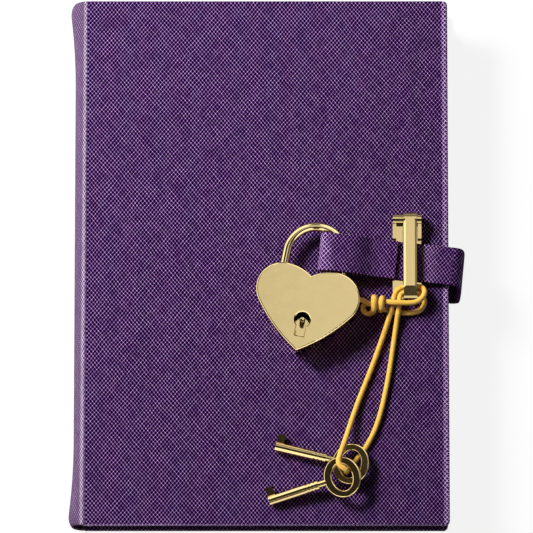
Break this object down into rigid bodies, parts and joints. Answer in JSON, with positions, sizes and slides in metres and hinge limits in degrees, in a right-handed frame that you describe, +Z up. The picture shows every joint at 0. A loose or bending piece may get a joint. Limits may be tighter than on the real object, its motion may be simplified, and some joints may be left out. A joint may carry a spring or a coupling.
{
  "type": "locking_diary",
  "caption": "Purple grained-leather diary closed by a strap under a gilt hasp bar, with a heart-shaped padlock and a pair of keys on a golden cord.",
  "frame": {"origin": "Middle of the back cover's outer face, the face the diary lies on.", "axes": "+X from the spine to the fore-edge, +Y from the tail to the head, +Z up out of the front cover."},
  "size_m": [0.1315, 0.178, 0.0309],
  "materials": {
    "case_leather": "pressed fine diagonal grain, purple, satin sheen",
    "strap_leather": "pressed fine diagonal grain, purple, satin sheen",
    "board": "grey-brown binder's board",
    "paper": "cream writing paper, cut edges",
    "endpaper": "cream endpaper",
    "tape_cloth": "woven linen tape and lining cloth",
    "headband_thread": "lilac woven band",
    "gilt_metal": "polished pale gold plate",
    "spring_steel": "spring leaf",
    "waxed_cord": "golden-yellow waxed cord"
  },
  "bodies": {
    "book": {"back_board": "board", "back_leather": "case_leather", "back_pastedown": "endpaper", "spine_leather": "case_leather", "spine_strip": "board", "sewing_tapes": "tape_cloth", "spine_lining": "tape_cloth", "head_band": "headband_thread", "tail_band": "headband_thread", "strap_tail": "strap_leather", "page_section_2": "paper", "page_section_3": "paper", "page_section_4": "paper", "page_section_5": "paper", "page_section_6": "paper", "page_section_7": "paper", "page_section_8": "paper"},
    "front_cover": {"front_board": "board", "front_leather": "case_leather", "front_pastedown": "endpaper", "hasp_base": "gilt_metal", "hasp_pin": "gilt_metal", "hasp_rivets": "gilt_metal", "key_cord": "waxed_cord", "cord_knot": "waxed_cord"},
    "first_pages": {"page_section_1": "paper"},
    "bar": {"hasp_bar": "gilt_metal"},
    "strap_rise": {"strap_side": "strap_leather"},
    "strap_run": {"strap_front": "strap_leather"},
    "padlock": {"padlock_case": "gilt_metal", "padlock_back_plate": "gilt_metal", "shackle_pin": "gilt_metal", "key_post": "gilt_metal", "bolt_spring": "spring_steel"},
    "shackle": {"padlock_shackle": "gilt_metal"},
    "bolt": {"lock_bolt": "gilt_metal"},
    "key_front": {"front_key": "gilt_metal"},
    "key_rear": {"rear_key": "gilt_metal"}
  },
  "joints": [
    {"name": "front_cover_hinge", "type": "hinge", "parent": "book", "child": "front_cover", "pos_m": [-0.0613, 0, 0.01795], "axis": [0, -1, 0], "range_deg": [0, 176], "deforming": ["spine_leather"]},
    {"name": "first_pages_turn", "type": "hinge", "parent": "book", "child": "first_pages", "pos_m": [-0.0613, 0, 0.01795], "axis": [0, -1, 0], "range_deg": [0, 172]},
    {"name": "strap_side_fold", "type": "hinge", "parent": "book", "child": "strap_rise", "pos_m": [0.06309, -0.00213, 0.0032], "axis": [0.0976, 0.9952, 0], "range_deg": [0, 90], "deforming": ["strap_side", "strap_front"]},
    {"name": "strap_front_fold", "type": "hinge", "parent": "strap_rise", "child": "strap_run", "pos_m": [0.06239, -0.00206, 0.01885], "axis": [0.0976, 0.9952, 0], "range_deg": [0, 76], "deforming": ["strap_front"]},
    {"name": "hasp_bar_lift", "type": "hinge", "parent": "front_cover", "child": "bar", "pos_m": [0.0483, 0.0136, 0.02455], "axis": [-1, 0, 0], "range_deg": [0, 60], "deforming": ["key_cord"]},
    {"name": "padlock_swing", "type": "hinge", "parent": "front_cover", "child": "padlock", "pos_m": [0.02634, -0.00104, 0.02595], "axis": [0, 0, 1], "range_deg": [-7.5, 0]},
    {"name": "shackle_swing", "type": "hinge", "parent": "padlock", "child": "shackle", "pos_m": [0.00566, -0.00422, 0.02595], "axis": [0, 0, 1], "range_deg": [0, 35]},
    {"name": "bolt_throw", "type": "slide", "parent": "padlock", "child": "bolt", "axis": [0.9792, -0.2028, 0], "range_m": [0, 0.0007]},
    {"name": "front_key_swing", "type": "hinge", "parent": "front_cover", "child": "key_front", "pos_m": [0.0254, -0.0735, 0.02635], "axis": [0, 0, 1], "range_deg": [-6, 6], "deforming": ["key_cord"]},
    {"name": "rear_key_swing", "type": "hinge", "parent": "front_cover", "child": "key_rear", "pos_m": [0.0282, -0.0689, 0.02425], "axis": [0, 0, 1], "range_deg": [-6, 6], "deforming": ["key_cord"]}
  ],
  "couplings": [
    {"joint": "first_pages_turn", "follows": "front_cover_hinge", "ratio": 0.975},
    {"joint": "strap_front_fold", "follows": "strap_side_fold", "ratio": 0.8333}
  ]
}
